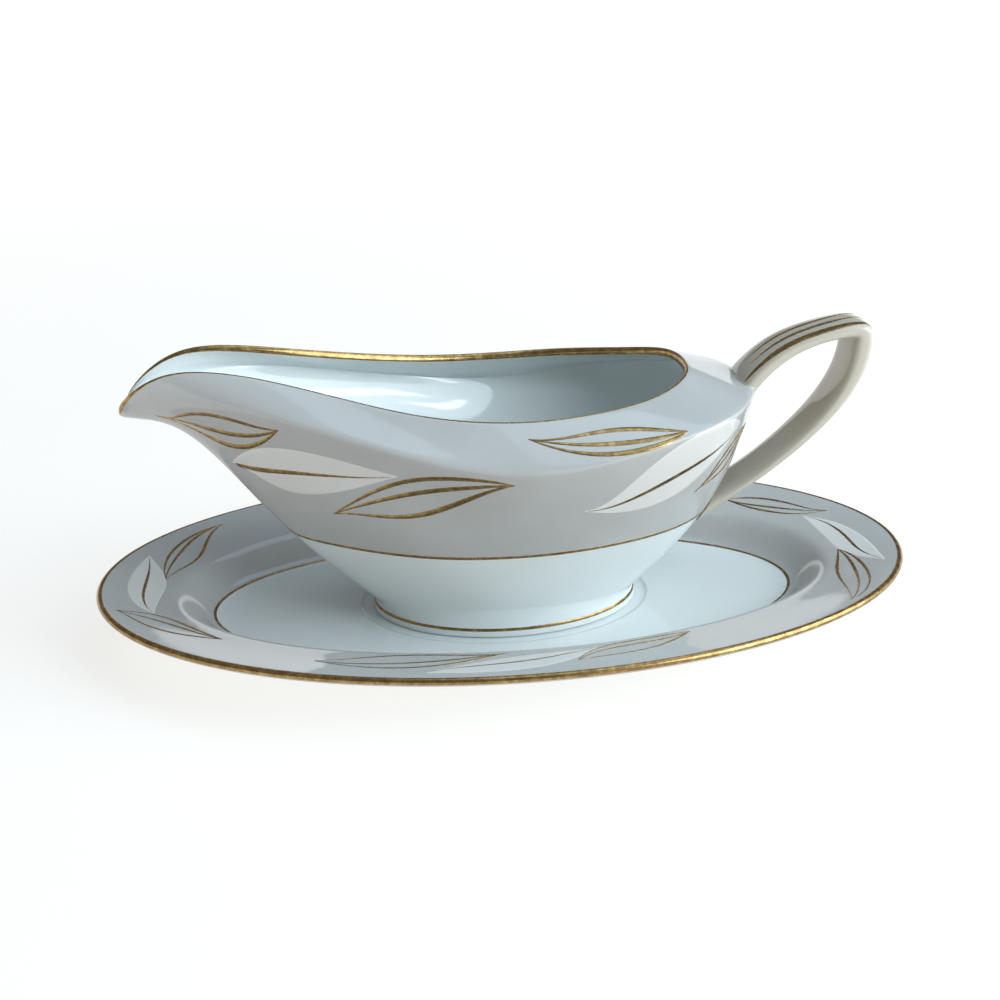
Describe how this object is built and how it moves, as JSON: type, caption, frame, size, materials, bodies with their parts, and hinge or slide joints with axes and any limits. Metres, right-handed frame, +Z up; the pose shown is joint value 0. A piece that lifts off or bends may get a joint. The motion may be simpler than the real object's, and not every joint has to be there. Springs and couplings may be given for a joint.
{
  "type": "gravy boat",
  "caption": "Oval footed gravy boat with a drooping spout, sharp shoulder and strap loop handle, standing loose in an oval underplate.",
  "frame": {"origin": "middle of the underplate's foot ring, in the plane of the table", "axes": "+X towards the handle, -X towards the spout, +Z up"},
  "size_m": [0.24, 0.151, 0.0876],
  "materials": {
    "white_glaze": "clear gloss glaze on white china",
    "grey_glaze": "clear gloss glaze on pale grey china",
    "bare_china": "ground and unglazed",
    "gilding": "fired gold, polished"
  },
  "bodies": {
    "underplate": {"underplate": "grey_glaze", "underplate_foot_ring": "bare_china", "underplate_rim_gilding": "gilding", "underplate_well_gilding": "gilding"},
    "boat": {"boat_body": "white_glaze", "boat_foot_ring": "white_glaze", "boat_handle": "white_glaze", "boat_rim_gilding": "gilding", "boat_belly_gilding": "gilding", "boat_foot_gilding": "gilding", "handle_gilding": "gilding"}
  },
  "joints": [
    {"name": "boat_lift", "type": "slide", "parent": "underplate", "child": "boat", "axis": [0, 0, 1], "range_m": [0, 0.12]}
  ]
}
